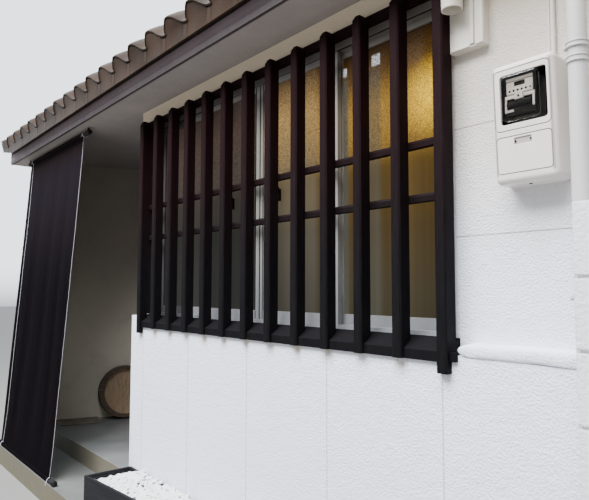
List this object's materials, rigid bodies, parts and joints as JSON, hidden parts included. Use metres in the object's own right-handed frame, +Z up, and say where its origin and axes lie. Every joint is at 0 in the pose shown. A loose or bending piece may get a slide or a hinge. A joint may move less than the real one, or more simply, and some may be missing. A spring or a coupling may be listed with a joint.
{
  "type": "machiya townhouse",
  "caption": "Single-storey row townhouse with pantile roof, timber window lattice, deep entrance porch, hanging entrance curtain, planter and party walls.",
  "frame": {"origin": "middle of the frontage, on the ground, under the face of the upper front wall", "axes": "+Z up, +X along the street front to the right as seen from the street, +Y into the house"},
  "size_m": [6.7974, 6.265, 5.1989],
  "materials": {
    "render_white": "rough painted render",
    "porch_plaster": "rough trowelled plaster",
    "concrete": "trowelled concrete",
    "foot_stone": "worn stone",
    "floor_boards": "satin boards",
    "door_timber": "oiled timber",
    "soffit_board": "matt painted board",
    "fascia_paint": "satin paint",
    "roof_boards": "sawn timber",
    "roof_tile": "smoked clay, weathered",
    "lattice_timber": "black-stained timber",
    "aluminium": "satin anodised",
    "amber_glass": "patterned amber glass",
    "clear_glass": "patterned clear glass",
    "white_plastic": "matt moulded plastic",
    "grey_plastic": "matt moulded plastic",
    "dark_glass": "tinted window",
    "block_paint": "painted concrete block",
    "planter_black": "black-stained boards",
    "pebbles": "washed white pebbles",
    "tub_wood": "planed timber",
    "rod_black": "black-stained pole",
    "curtain_cotton": "indigo-black cotton",
    "white_cord": "twisted cotton cord"
  },
  "bodies": {
    "root": {"lower_platform": "concrete", "entrance_platform": "concrete", "foot_stone": "foot_stone", "interior_floor": "floor_boards", "front_wall": "render_white", "wall_ledge": "render_white", "left_party_wall": "render_white", "right_party_wall": "render_white", "porch_side_wall": "porch_plaster", "porch_return_wall": "porch_plaster", "porch_back_wall": "porch_plaster", "porch_ceiling": "soffit_board", "entrance_door": "door_timber", "back_wall": "render_white", "soffit_front": "soffit_board", "soffit_back": "soffit_board", "fascia_front": "fascia_paint", "fascia_back": "fascia_paint", "roof_deck_front": "roof_boards", "roof_deck_back": "roof_boards", "roof_tiles_front": "roof_tile", "roof_tiles_back": "roof_tile", "eaves_tiles_front": "roof_tile", "eaves_tiles_back": "roof_tile", "verge_tiles": "roof_tile", "verge_boards": "fascia_paint", "ridge_tiles": "roof_tile", "lattice_bars": "lattice_timber", "lattice_rails": "lattice_timber", "lattice_sill": "lattice_timber", "window_frame": "aluminium", "window_sashes": "aluminium", "window_panes": "amber_glass", "back_window": "aluminium", "back_window_panes": "clear_glass", "meter_box": "white_plastic", "meter_unit": "grey_plastic", "meter_pane": "dark_glass", "service_board": "white_plastic", "conduits": "white_plastic", "downpipe": "white_plastic", "block_wall": "block_paint", "planter_box": "planter_black", "planter_stones": "pebbles", "round_tub": "tub_wood", "curtain_rods": "rod_black", "curtain_cloth": "curtain_cotton", "curtain_cords": "white_cord"}
  },
  "joints": []
}
